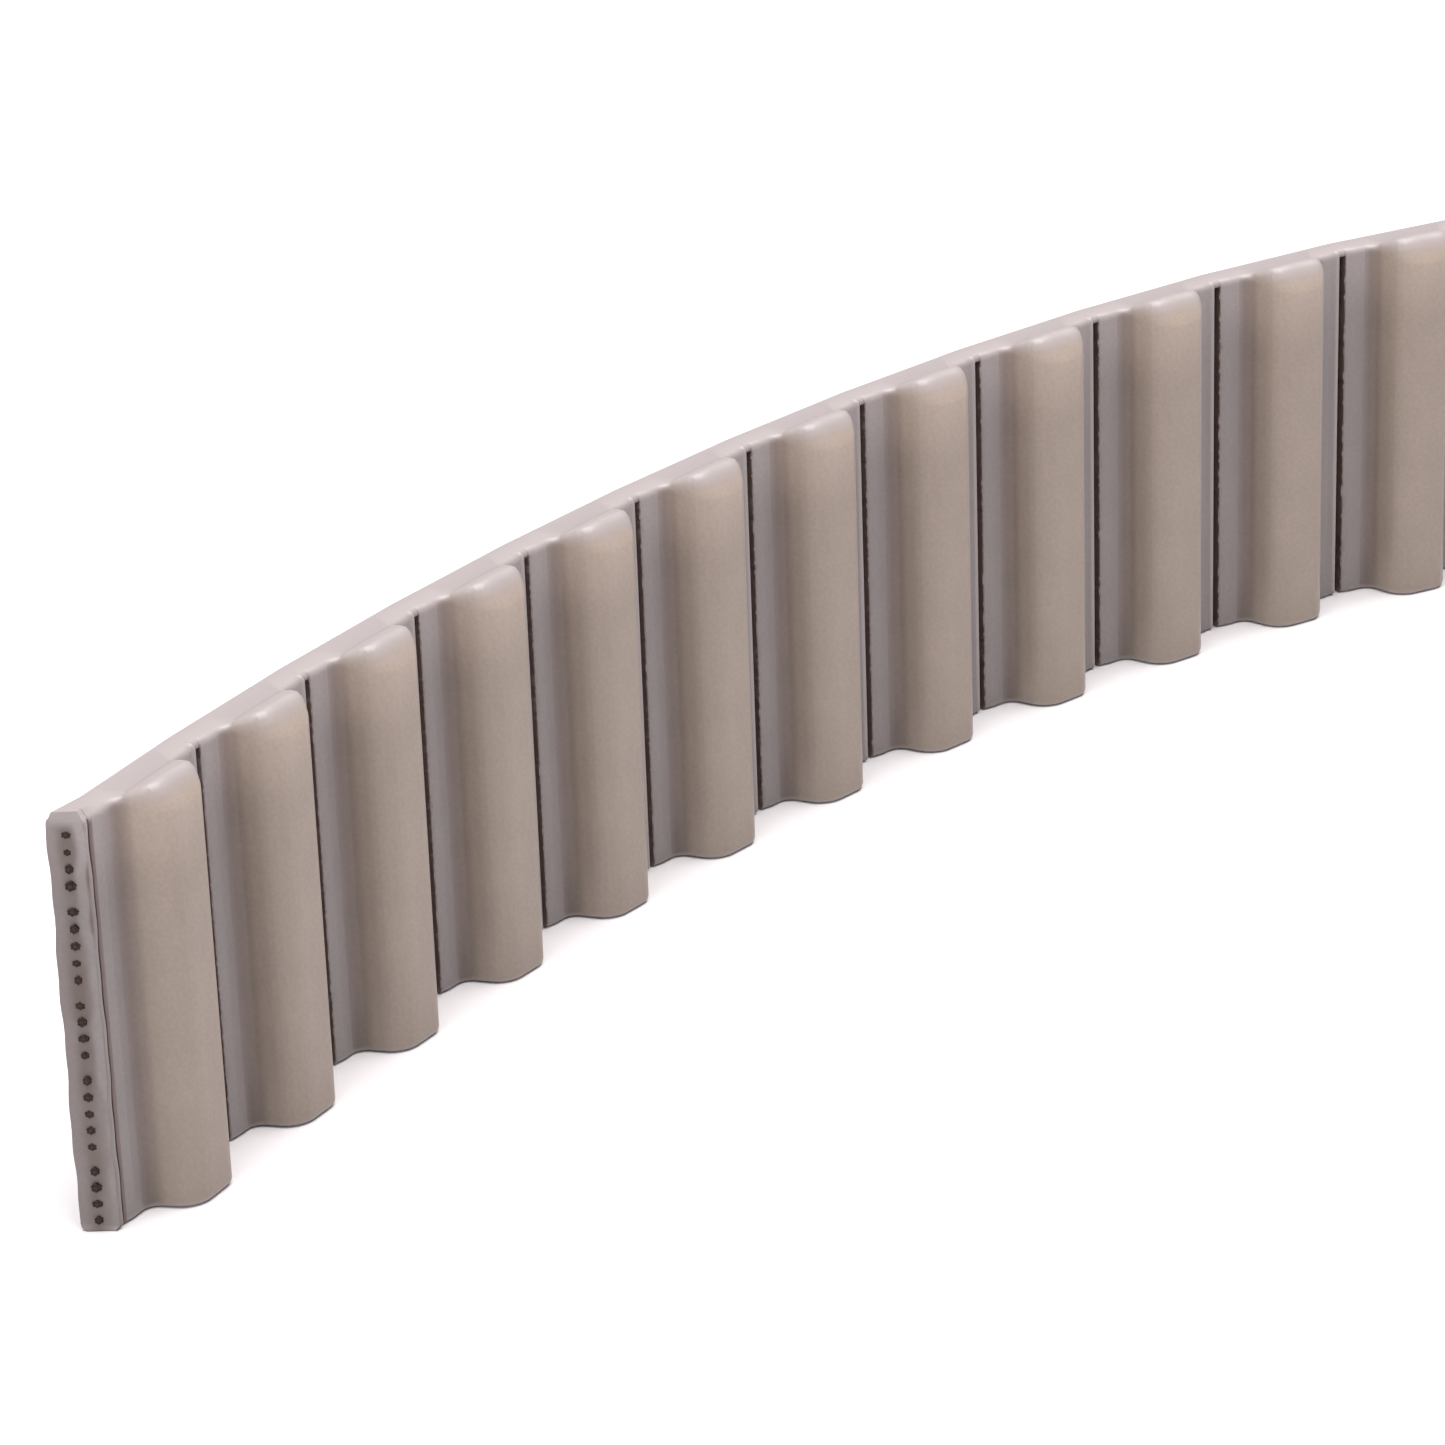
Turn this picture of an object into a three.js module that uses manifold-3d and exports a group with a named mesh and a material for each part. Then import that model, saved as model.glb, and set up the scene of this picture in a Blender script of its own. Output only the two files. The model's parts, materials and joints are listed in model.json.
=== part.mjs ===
// Open-ended polyurethane timing belt, metric trapezoidal 5 mm pitch, 12 mm wide, standing on its edge.
// The moulded body is a chain of one-pitch tooth segments that hinge on the cord line, where a real belt
// bends, and twenty-two continuous steel tension cords run through the whole chain.
// Frame: millimetres, +Z up across the belt's width. The origin is on the cord line under the middle of the
// root tooth, on the edge that the belt stands on. +X runs along the belt there, and the teeth face -Y.

import * as THREE from 'three';
import { mergeVertices } from 'three/addons/utils/BufferGeometryUtils.js';
import Module from 'manifold-3d';

// Tooth form: 5 mm pitch, 40 degree included flank angle
const PITCH = 5;
const BELT_WIDTH = 12;
const TOOTH_COUNT = 14;
const ROOT_TOOTH = 7;
const TOOTH_HEIGHT = 1.2;
const TOOTH_ROOT_WIDTH = 2.65;
const FLANK_ANGLE = THREE.MathUtils.degToRad(20);
const ROOT_RADIUS = 0.4;
const CROWN_RADIUS = 0.3;
const ARC_DIVISIONS = 2;

// Web: the cord line lies midway between the back and the land at a tooth's root
const LAND_TO_CORD = 0.5;
const BACK_TO_CORD = 0.5;

// Nose slit across the middle of each land, open enough for the tightest bend
const SLIT_WIDTH = 0.24;
const HALF_SEGMENT = (PITCH - SLIT_WIDTH) / 2;

// The slack end is cut off a little beyond its last slit, so its segment is longer on that side
const SLACK_CUT = PITCH / 2 + 0.35;

// Steel tension cords, wound in groups
const CORD_DIAMETER = 0.36;
const CORD_SIDES = 6;
const CORD_SPACING = 0.484;
const CORD_GROUP_GAP = 0.734;
const CORD_GROUPS = [4, 5, 4, 5, 4];
const LOWEST_CORD = 0.34;
const BORE_CLEARANCE = 0.035;
const BORE_OVERRUN = 1;

// Bend from one tooth to the next as the belt stands, growing with the square of the distance
// from the slack end
const SLACK_BEND = THREE.MathUtils.degToRad(2.25);
const TIGHT_BEND = THREE.MathUtils.degToRad(6.0);

const polyurethane = new THREE.MeshStandardMaterial({
  name: 'polyurethane', color: 0xb8a69a, roughness: 0.5, metalness: 0,
});
const steel = new THREE.MeshStandardMaterial({
  name: 'steel_cord', color: 0x5a534e, roughness: 0.45, metalness: 0.9,
});

const wasm = await Module();
wasm.setup();

/** Turns a closed three.js geometry into a manifold solid. */
function toSolid(geometry) {
  const bare = geometry.clone();
  bare.deleteAttribute('normal');
  bare.deleteAttribute('uv');
  const merged = mergeVertices(bare);
  return new wasm.Manifold(new wasm.Mesh({
    numProp: 3,
    vertProperties: new Float32Array(merged.attributes.position.array),
    triVerts: new Uint32Array(merged.index.array),
  }));
}

/** Turns a manifold solid back into a three.js geometry. */
function toGeometry(solid) {
  const mesh = solid.getMesh();
  const geometry = new THREE.BufferGeometry();
  geometry.setAttribute('position', new THREE.BufferAttribute(mesh.vertProperties, 3));
  geometry.setIndex(new THREE.BufferAttribute(mesh.triVerts, 1));
  geometry.computeVertexNormals();
  return geometry;
}

/** Adds a rounded corner to an outline, between the points before and after it. */
function roundCorner(shape, before, corner, after, radius) {
  const back = before.clone().sub(corner).normalize();
  const ahead = after.clone().sub(corner).normalize();
  const halfAngle = back.angleTo(ahead) / 2;
  const middle = back.clone().add(ahead).normalize();
  const centre = corner.clone().addScaledVector(middle, radius / Math.sin(halfAngle));
  const tangent = radius / Math.tan(halfAngle);
  const start = corner.clone().addScaledVector(back, tangent).sub(centre);
  const end = corner.clone().addScaledVector(ahead, tangent).sub(centre);
  const clockwise = back.cross(ahead) > 0;
  shape.absarc(centre.x, centre.y, radius, start.angle(), end.angle(), clockwise);
}

/**
 * The outline of one pitch of belt in plan: x along the belt from the tooth's middle, -y towards the teeth.
 * slackSide is how far it reaches towards the slack end.
 */
function segmentOutline(slackSide) {
  const rootHalf = TOOTH_ROOT_WIDTH / 2;
  const crownHalf = rootHalf - TOOTH_HEIGHT * Math.tan(FLANK_ANGLE);
  const land = -LAND_TO_CORD;
  const crown = land - TOOTH_HEIGHT;
  const corners = [
    [-slackSide, BACK_TO_CORD, 0], [-slackSide, land, 0],
    [-rootHalf, land, ROOT_RADIUS], [-crownHalf, crown, CROWN_RADIUS],
    [crownHalf, crown, CROWN_RADIUS], [rootHalf, land, ROOT_RADIUS],
    [HALF_SEGMENT, land, 0], [HALF_SEGMENT, BACK_TO_CORD, 0],
  ].map(([x, y, radius]) => ({ point: new THREE.Vector2(x, y), radius }));
  const shape = new THREE.Shape();
  corners.forEach(({ point, radius }, i) => {
    if (i === 0) shape.moveTo(point.x, point.y);
    else if (radius === 0) shape.lineTo(point.x, point.y);
    else roundCorner(shape, corners[i - 1].point, point, corners[i + 1].point, radius);
  });
  shape.closePath();
  return shape;
}

/** A regular polygon section with two flats square to its own x axis. */
function cordSection(radius) {
  const step = 2 * Math.PI / CORD_SIDES;
  const points = Array.from({ length: CORD_SIDES }, (_, k) => {
    const angle = (k + 0.5) * step;
    return new THREE.Vector2(radius * Math.cos(angle), radius * Math.sin(angle));
  });
  return new THREE.Shape(points);
}

/** Heights of the cords above the edge that the belt stands on, group by group. */
function cordHeights() {
  const heights = [];
  let height = LOWEST_CORD;
  for (const count of CORD_GROUPS) {
    for (let k = 0; k < count; k++) heights.push(height + k * CORD_SPACING);
    height = heights.at(-1) + CORD_GROUP_GAP;
  }
  return heights;
}

/** One pitch of the moulded body, with a bore for each cord. */
function segmentGeometry(heights, slackSide) {
  const body = new THREE.ExtrudeGeometry(segmentOutline(slackSide), {
    depth: BELT_WIDTH, bevelEnabled: false, curveSegments: ARC_DIVISIONS,
  });
  const length = PITCH + 2 * BORE_OVERRUN;
  const bore = new THREE.ExtrudeGeometry(cordSection(CORD_DIAMETER / 2 + BORE_CLEARANCE), {
    depth: length, bevelEnabled: false,
  });
  bore.translate(0, 0, -length / 2);
  bore.rotateY(Math.PI / 2);
  let solid = toSolid(body);
  for (const height of heights) solid = solid.subtract(toSolid(bore.clone().translate(0, 0, height)));
  return toGeometry(solid);
}

/** Middle and heading of every tooth segment along the bent cord line. */
function layOutTeeth() {
  const bends = Array.from({ length: TOOTH_COUNT - 1 }, (_, k) => (
    SLACK_BEND + (TIGHT_BEND - SLACK_BEND) * (k / (TOOTH_COUNT - 2)) ** 2
  ));
  const teeth = [{ middle: new THREE.Vector2(), heading: 0 }];
  for (const bend of bends) {
    const last = teeth.at(-1);
    const heading = last.heading - bend;
    const middle = last.middle.clone()
      .add(new THREE.Vector2(PITCH / 2, 0).rotateAround(new THREE.Vector2(), last.heading))
      .add(new THREE.Vector2(PITCH / 2, 0).rotateAround(new THREE.Vector2(), heading));
    teeth.push({ middle, heading });
  }
  const root = teeth[ROOT_TOOTH - 1];
  return teeth.map(({ middle, heading }) => ({
    middle: middle.clone().sub(root.middle).rotateAround(new THREE.Vector2(), -root.heading),
    heading: heading - root.heading,
  }));
}

/** The bent line that every cord follows, at height zero, from one cut end to the other. */
function cordPath(teeth) {
  const along = (tooth, distance) => {
    const offset = new THREE.Vector2(distance, 0).rotateAround(new THREE.Vector2(), tooth.heading);
    return new THREE.Vector3(tooth.middle.x + offset.x, tooth.middle.y + offset.y, 0);
  };
  const points = [along(teeth[0], -SLACK_CUT)];
  for (const tooth of teeth.slice(0, -1)) points.push(along(tooth, PITCH / 2));
  points.push(along(teeth.at(-1), HALF_SEGMENT));
  const path = new THREE.CurvePath();
  for (let k = 1; k < points.length; k++) path.add(new THREE.LineCurve3(points[k - 1], points[k]));
  return path;
}

const number = (k) => String(k + 1).padStart(2, '0');
const heights = cordHeights();
const teeth = layOutTeeth();

const belt = new THREE.Group();
const endForm = segmentGeometry(heights, SLACK_CUT);
const toothForm = segmentGeometry(heights, HALF_SEGMENT);
teeth.forEach(({ middle, heading }, k) => {
  const tooth = new THREE.Mesh(k === 0 ? endForm : toothForm, polyurethane);
  tooth.name = `belt_tooth_${number(k)}`;
  tooth.position.set(middle.x, middle.y, 0);
  tooth.rotation.z = heading;
  belt.add(tooth);
});

const cordForm = new THREE.ExtrudeGeometry(cordSection(CORD_DIAMETER / 2), {
  steps: TOOTH_COUNT, extrudePath: cordPath(teeth),
});
heights.forEach((height, k) => {
  const cord = new THREE.Mesh(cordForm, steel);
  cord.name = `tension_cord_${number(k)}`;
  cord.position.z = height;
  belt.add(cord);
});

export default belt;
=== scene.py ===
"""Open-ended polyurethane timing belt with steel tension cords, standing on its edge.

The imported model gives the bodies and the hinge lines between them. This script lays the belt
out along those hinge lines and builds what is seen of it: moulded teeth, the thin webs that bend
between them, the two cut ends and the stranded steel cords that run through all of it.

Sizes are millimetres in each tooth's own frame: x along the belt from the tooth's middle, -y
towards the crown of the tooth, z up from the edge that the belt stands on. The cord line is at
y = 0.
"""

from __future__ import annotations

import json
import logging
import math
import random
from collections.abc import Callable, Iterable, Sequence
from dataclasses import dataclass, field, replace
from enum import Enum

import bmesh
import bpy
from bmesh.types import BMEdge, BMesh, BMVert
from mathutils import Euler, Matrix, Vector

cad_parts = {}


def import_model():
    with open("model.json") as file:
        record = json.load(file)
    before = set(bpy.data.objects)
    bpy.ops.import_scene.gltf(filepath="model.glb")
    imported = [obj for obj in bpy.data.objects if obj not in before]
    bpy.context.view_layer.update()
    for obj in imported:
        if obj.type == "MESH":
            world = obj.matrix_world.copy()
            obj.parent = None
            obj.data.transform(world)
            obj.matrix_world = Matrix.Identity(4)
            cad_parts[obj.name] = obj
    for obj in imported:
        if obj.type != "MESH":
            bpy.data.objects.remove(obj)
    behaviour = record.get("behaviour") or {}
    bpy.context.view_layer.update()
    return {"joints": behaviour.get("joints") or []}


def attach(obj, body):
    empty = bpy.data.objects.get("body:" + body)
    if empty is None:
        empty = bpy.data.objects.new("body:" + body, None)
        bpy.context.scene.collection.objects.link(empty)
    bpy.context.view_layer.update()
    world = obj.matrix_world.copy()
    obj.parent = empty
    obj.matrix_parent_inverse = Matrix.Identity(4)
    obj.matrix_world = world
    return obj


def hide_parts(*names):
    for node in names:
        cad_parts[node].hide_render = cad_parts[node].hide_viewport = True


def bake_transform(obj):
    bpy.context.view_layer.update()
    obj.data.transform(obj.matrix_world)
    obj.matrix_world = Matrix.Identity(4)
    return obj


LOG = logging.getLogger("timing_belt")

MM = 0.001
# Points closer together than this, in millimetres, count as one
TOUCH = 1e-4
# A face is level when its normal points up or down by at least this share
LEVEL = 0.9995
# Edges that turn by more than this are shaded sharp
SHARP = math.radians(40)
# Edges that turn by more than this belong to a rim
STEEP = math.radians(60)
# Mesh attribute with each point's place in its tooth's frame
BELT_MM = "belt_mm"

Place = Callable[[Vector], Vector]
Tree = bpy.types.NodeTree
Socket = bpy.types.NodeSocket
Outputs = bpy.types.bpy_prop_collection


class Slot(Enum):
    """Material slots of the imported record."""

    POLYURETHANE = "polyurethane"
    STEEL_CORD = "steel_cord"


class Side(Enum):
    """Which way along the belt something faces: towards its slack end or its tightly bent end."""

    SLACK = -1
    TIGHT = 1


@dataclass(frozen=True)
class BeltForm:
    """Sizes of the moulded body in millimetres: a 5 mm trapezoidal form on a belt 12 mm wide."""

    pitch: float = 5.0
    width: float = 12.0
    tooth_height: float = 1.28
    root_width: float = 2.65
    flank_angle: float = math.radians(20.0)
    root_radius: float = 0.40
    # The tooth's corner on its slack side is the rounder one
    crown_radius: float = 0.45
    slack_crown_radius: float = 0.85
    # Distances from the cord line
    land: float = -0.50
    back: float = 0.50
    # Where a tooth ends and the web that bends begins, from the tooth's middle
    seam: float = 1.65
    web_steps: int = 14
    rim_radius: float = 0.20
    rim_steps: int = 3
    # Bend per pitch beyond the first and the last hinge
    slack_bend: float = math.radians(2.25)
    tight_bend: float = math.radians(6.0)
    # The slack cut: its distance at the land and at the back, and how far it leans in its height
    slack_cut_front: float = 2.76
    slack_cut_back: float = 3.13
    slack_cut_lean: float = -0.12
    tight_cut: float = 2.38

    @property
    def crown(self) -> float:
        """Distance of the tooth's crown from the cord line."""
        return self.land - self.tooth_height

    @property
    def crown_half(self) -> float:
        """Half the crown's width, before its corners are rounded."""
        return self.root_width / 2 - self.tooth_height * math.tan(self.flank_angle)

    @property
    def slack_cut_normal(self) -> Vector:
        """The direction the slack cut faces: askew in plan, and leaning out at the top."""
        across = Vector((self.slack_cut_front - self.slack_cut_back, self.back - self.land, 0))
        upwards = Vector((-self.slack_cut_lean, 0, self.width))
        return upwards.cross(across).normalized()


@dataclass(frozen=True)
class SlitForm:
    """Section of the nose slit in each land, in millimetres from the slit's middle."""

    half_gap: float = 0.14
    floor: float = -0.06
    lip: float = -0.52
    lip_width: float = 0.10
    # Where the land starts to dip towards the lip, in lip widths from the gap
    lip_run: float = 3.6
    dip: float = -0.455
    far_edge: float = -0.43
    ramp: float = 0.30
    ramp_level: float = -0.465
    blend_in: float = 0.50
    land_radius: float = 0.30
    dip_radius: float = 0.05
    edge_radius: float = 0.02
    ramp_radius: float = 0.10
    arc_steps: int = 3
    # The slit ends this far below the upper edge, behind a skin over this share of that height
    closed_rim: float = 0.30
    skin_share: float = 0.75
    skin_setback: float = 0.02
    # Tears along the far edge: their height, reach across, width, and depth as a share of it
    tear_step: float = 0.15
    tear_reach: float = 0.03
    ragged: float = 0.055
    tear_depth: float = 0.6


@dataclass(frozen=True)
class EndForm:
    """The upper end of a tooth in millimetres: proud of the web, rounded off by a scallop."""

    rise: float = 0.36
    depth: float = 0.52
    side_depth: float = 0.26
    # How far the crown is set back at the top, and the share of that in a plain facet
    setback: float = 0.36
    facet: float = 0.70
    # The scallop runs out this far beyond the crown, and the fine mesh starts this far below it
    side_margin: float = 0.1
    lead_in: float = 0.2
    columns: int = 18
    rows: int = 10
    layers: int = 6

    def scallop(self, across: float) -> float:
        """How far down the scallop reaches, at 0 for the tooth's middle up to 1 for its sides."""
        return self.side_depth + (self.depth - self.side_depth) * max(1.0 - across * across, 0.0)


@dataclass(frozen=True)
class HandCut:
    """The cut at the slack end, made by hand beside a nose slit that it pressed together."""

    slit_half_gap: float = 0.06
    slit_lip: float = -0.50
    rows: int = 40
    # How far the upper corner has sprung up, and over what height
    rise: float = 0.16
    rise_height: float = 1.0
    # Waves up the cut face: size in millimetres, radians per millimetre of height, and start
    waves: tuple[tuple[float, float, float], ...] = ((0.035, 1.5, 0.0), (0.022, 4.3, 1.0))

    def waver(self, z: float) -> float:
        """How far the cut strays at a height."""
        return sum(size * math.sin(rate * z + start) for size, rate, start in self.waves)


@dataclass(frozen=True)
class CordForm:
    """Sizes of the steel cords: a strand of one wire with six laid around it, wound in groups."""

    diameter: float = 0.27
    spacing: float = 0.484
    group_gap: float = 0.734
    groups: tuple[int, ...] = (4, 5, 4, 5, 4)
    lowest: float = 0.34
    lay_length: float = 3.2
    outer_wires: int = 6
    # The core fills the hollows between the outer wires. In wire radii
    core: float = 2.3
    # How far the cords stand out of the slack cut, and how the blade pinched or spread them
    proud: float = 0.05
    pinch: float = 0.75
    spread: float = 1.1
    plain_sides: int = 10
    core_sides: int = 12
    wire_sides: int = 8
    bend_steps: int = 8
    twist_steps: int = 12

    @property
    def wire_radius(self) -> float:
        """Radius of one wire, which is a sixth of the strand's diameter."""
        return self.diameter / 6

    def heights(self) -> list[float]:
        """Heights of the cords above the standing edge."""
        found: list[float] = []
        start = self.lowest
        for count in self.groups:
            found += [start + k * self.spacing for k in range(count)]
            start = found[-1] + self.group_gap
        return found


# --------------------------------------------------------------------------------------
# Where things are
# --------------------------------------------------------------------------------------


@dataclass
class BeltLine:
    """The bent line of the belt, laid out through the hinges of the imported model."""

    form: BeltForm
    joints: list[dict]
    frames: list[Matrix] = field(default_factory=list)

    def __post_init__(self) -> None:
        """Works out a frame for each tooth from the hinges on its two sides."""
        hinges = [Vector(j["pos_m"][:2]) for j in sorted(self.joints, key=lambda j: j["name"])]
        spans = [b - a for a, b in zip(hinges, hinges[1:])]
        headings = [math.atan2(span.y, span.x) for span in spans]
        first = headings[0] + self.form.slack_bend
        last = headings[-1] - self.form.tight_bend
        headings = [first, *headings, last]
        half = self.form.pitch / 2 * MM
        for k, heading in enumerate(headings):
            along = Vector((math.cos(heading), math.sin(heading)))
            middle = hinges[k] - along * half if k < len(hinges) else hinges[-1] + along * half
            turn = Matrix.Rotation(heading, 4, "Z")
            self.frames.append(Matrix.Translation((*middle, 0)) @ turn @ Matrix.Scale(MM, 4))

    @property
    def tooth_count(self) -> int:
        """How many teeth the belt has."""
        return len(self.frames)

    def on_tooth(self, k: int) -> Place:
        """Returns the placing of points that are fixed to tooth k, counted from 0."""
        return lambda p: self.frames[k] @ p

    def across_hinge(self, k: int) -> Place:
        """Returns the placing of points that bend between teeth k and k + 1.

        Args:
            k: The tooth on the hinge's slack side, whose frame the points are in.

        Returns:
            A function from a point in millimetres to its place in metres.
        """
        step = Vector((self.form.pitch, 0, 0))
        start, end = self.blend_points(k)

        def place(p: Vector) -> Vector:
            near, far = self.frames[k] @ p, self.frames[k + 1] @ (p - step)
            middle = (near + far) / 2
            span = end - start
            t = min(max((middle - start).dot(span) / span.length_squared, 0.0), 1.0)
            return near.lerp(far, t * t * (3 - 2 * t))

        return place

    def blend_points(self, k: int) -> tuple[Vector, Vector]:
        """The points where the bending part between teeth k and k + 1 starts and ends.

        Args:
            k: The tooth on the slack side.

        Returns:
            The start and the end, in metres.
        """
        seam, half = self.form.seam, self.form.width / 2
        start = self.frames[k] @ Vector((seam, 0, half))
        end = self.frames[k + 1] @ Vector((-seam, 0, half))
        return start, end


# --------------------------------------------------------------------------------------
# Mesh helpers
# --------------------------------------------------------------------------------------


@dataclass(frozen=True)
class Corner:
    """A corner of an outline in plan, with the radius it is rounded to."""

    x: float
    y: float
    radius: float = 0.0


def prism(corners: Sequence[Corner], height: float, arc_segments: int = 5) -> BMesh:
    """Raises an outline into a solid and rounds its upright corners.

    Args:
        corners: The outline in plan, in order.
        height: How high the solid stands from z = 0.
        arc_segments: Divisions in each rounded corner.

    Returns:
        The solid as a new mesh.
    """
    bm = bmesh.new()
    base = bm.faces.new([bm.verts.new((c.x, c.y, 0)) for c in corners])
    raised = bmesh.ops.extrude_face_region(bm, geom=[base])["geom"]
    bmesh.ops.translate(bm, verts=[v for v in raised if isinstance(v, BMVert)], vec=(0, 0, height))
    bmesh.ops.recalc_face_normals(bm, faces=bm.faces)
    for i, corner in enumerate(corners):
        if corner.radius:
            before, after = corners[i - 1], corners[(i + 1) % len(corners)]
            ahead = Vector((after.x - corner.x, after.y - corner.y))
            behind = Vector((corner.x - before.x, corner.y - before.y))
            offset = corner.radius * math.tan(abs(ahead.angle(behind)) / 2)
            bevel(bm, uprights_at(bm, corner.x, corner.y), offset, arc_segments)
    return bm


def uprights_at(bm: BMesh, x: float, y: float) -> list[BMEdge]:
    """The upright edges that stand on a point in plan.

    Args:
        bm: The mesh.
        x: Where the point is along the belt.
        y: Where it is across the cord line.

    Returns:
        The edges.
    """
    return [
        e
        for e in bm.edges
        if all(abs(v.co.x - x) < TOUCH and abs(v.co.y - y) < TOUCH for v in e.verts)
    ]


def bevel(bm: BMesh, edges: Iterable[BMEdge], offset: float, segments: int) -> None:
    """Rounds edges.

    Args:
        bm: The mesh.
        edges: The edges to round.
        offset: How far from the edge the rounding starts.
        segments: Divisions in the rounding.
    """
    bmesh.ops.bevel(
        bm,
        geom=list(edges),
        offset=offset,
        offset_type="OFFSET",
        segments=segments,
        profile=0.5,
        affect="EDGES",
        material=-1,
        clamp_overlap=True,
    )


def slice_along(bm: BMesh, axis: int, places: Iterable[float]) -> None:
    """Cuts a mesh with planes square to one axis, so that it can bend or twist there.

    Args:
        bm: The mesh.
        axis: 0 for x, 1 for y or 2 for z.
        places: Where the planes are along the axis.
    """
    normal = [0.0, 0.0, 0.0]
    normal[axis] = 1.0
    for place in places:
        point = [c * place for c in normal]
        geom = [*bm.verts, *bm.edges, *bm.faces]
        bmesh.ops.bisect_plane(bm, geom=geom, dist=TOUCH, plane_co=point, plane_no=normal)


def cut_off(bm: BMesh, point: Vector, normal: Vector) -> None:
    """Cuts away what lies beyond a plane, on the side of its normal, and closes the cut.

    Args:
        bm: The mesh.
        point: A point in the plane.
        normal: The way out of what is kept.
    """
    geom = [*bm.verts, *bm.edges, *bm.faces]
    cut = bmesh.ops.bisect_plane(
        bm, geom=geom, dist=TOUCH, plane_co=point, plane_no=normal, clear_outer=True
    )["geom_cut"]
    edges = [e for e in cut if isinstance(e, BMEdge) and e.is_boundary]
    bmesh.ops.holes_fill(bm, edges=edges, sides=0)


def rim_edges(bm: BMesh, level: float, seams: Sequence[float]) -> list[BMEdge]:
    """The edges round the mesh at one height, without those on the seams between pieces.

    Args:
        bm: The mesh.
        level: The height.
        seams: Where the seams are along x.

    Returns:
        The edges.
    """
    found = []
    for edge in bm.edges:
        on_level = all(abs(v.co.z - level) < TOUCH for v in edge.verts)
        on_seam = any(all(abs(v.co.x - seam) < TOUCH for v in edge.verts) for seam in seams)
        sharp = edge.is_manifold and edge.calc_face_angle(0) > STEEP
        if on_level and sharp and not on_seam:
            found.append(edge)
    return found


def grid_steps(start: float, end: float, count: int) -> list[float]:
    """Evenly spaced places strictly between two ends."""
    return [start + (end - start) * k / count for k in range(1, count)]


def make_piece(
    bm: BMesh, name: str, place: Place, material: bpy.types.Material, slot: Slot
) -> bpy.types.Object:
    """Places a finished mesh and makes it an object of the belt.

    The points before placing are kept in an attribute, so that a finish can follow each tooth.

    Args:
        bm: The mesh in a tooth's frame, in millimetres. It is freed.
        name: The piece's name.
        place: The placing from millimetres in the tooth's frame to metres.
        material: The finish.
        slot: The record's slot that the finish stands for. Not used.

    Returns:
        The new object.
    """
    bmesh.ops.recalc_face_normals(bm, faces=bm.faces)
    layer = bm.verts.layers.float_vector.new(BELT_MM)
    for v in bm.verts:
        v[layer] = v.co.copy()
        v.co = place(v.co)
    mesh = bpy.data.meshes.new(name)
    bm.to_mesh(mesh)
    bm.free()
    # Level faces are shaded flat, so that a rim's curve doesn't tint the flat edge beside it
    mesh.polygons.foreach_set("use_smooth", [abs(p.normal.z) < LEVEL for p in mesh.polygons])
    mesh.set_sharp_from_angle(angle=SHARP)
    mesh.materials.append(material)
    piece = bpy.data.objects.new(name, mesh)
    bpy.context.scene.collection.objects.link(piece)
    LOG.info("%s: %d faces", name, len(mesh.polygons))
    return piece


# --------------------------------------------------------------------------------------
# Finishes
# --------------------------------------------------------------------------------------


def srgb(code: str) -> tuple[float, float, float, float]:
    """Turns an sRGB hex colour into linear RGBA."""
    parts = [int(code[i : i + 2], 16) / 255 for i in (1, 3, 5)]
    linear = [c / 12.92 if c <= 0.04045 else ((c + 0.055) / 1.055) ** 2.4 for c in parts]
    return linear[0], linear[1], linear[2], 1.0


def add_node(
    tree: Tree,
    kind: str,
    settings: dict | None = None,
    inputs: dict | None = None,
) -> bpy.types.Node:
    """Adds a node with its settings, and fills its sockets with values or links.

    Args:
        tree: The node tree.
        kind: The node's type name.
        settings: Properties of the node.
        inputs: Socket names or numbers, each with a value or the output socket that feeds it.

    Returns:
        The new node.
    """
    node = tree.nodes.new(kind)
    for key, value in (settings or {}).items():
        setattr(node, key, value)
    for key, value in (inputs or {}).items():
        if isinstance(value, Socket):
            tree.links.new(value, node.inputs[key])
        else:
            node.inputs[key].default_value = value
    return node


@dataclass(frozen=True)
class Finish:
    """What every finish has: a name, a roughness and a way to start its material."""

    name: str
    roughness: float

    def start(self) -> tuple[bpy.types.Material, Tree]:
        """Makes an empty node material."""
        material = bpy.data.materials.new(self.name)
        material.use_nodes = True
        tree = material.node_tree
        tree.nodes.clear()
        return material, tree


@dataclass(frozen=True)
class Fade:
    """Where a look starts to change and where it has changed, along the value that it follows."""

    start: float
    end: float

    def beyond(self, level: float) -> Fade:
        """The same change, counted from a level."""
        return Fade(level + self.start, level + self.end)


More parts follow.
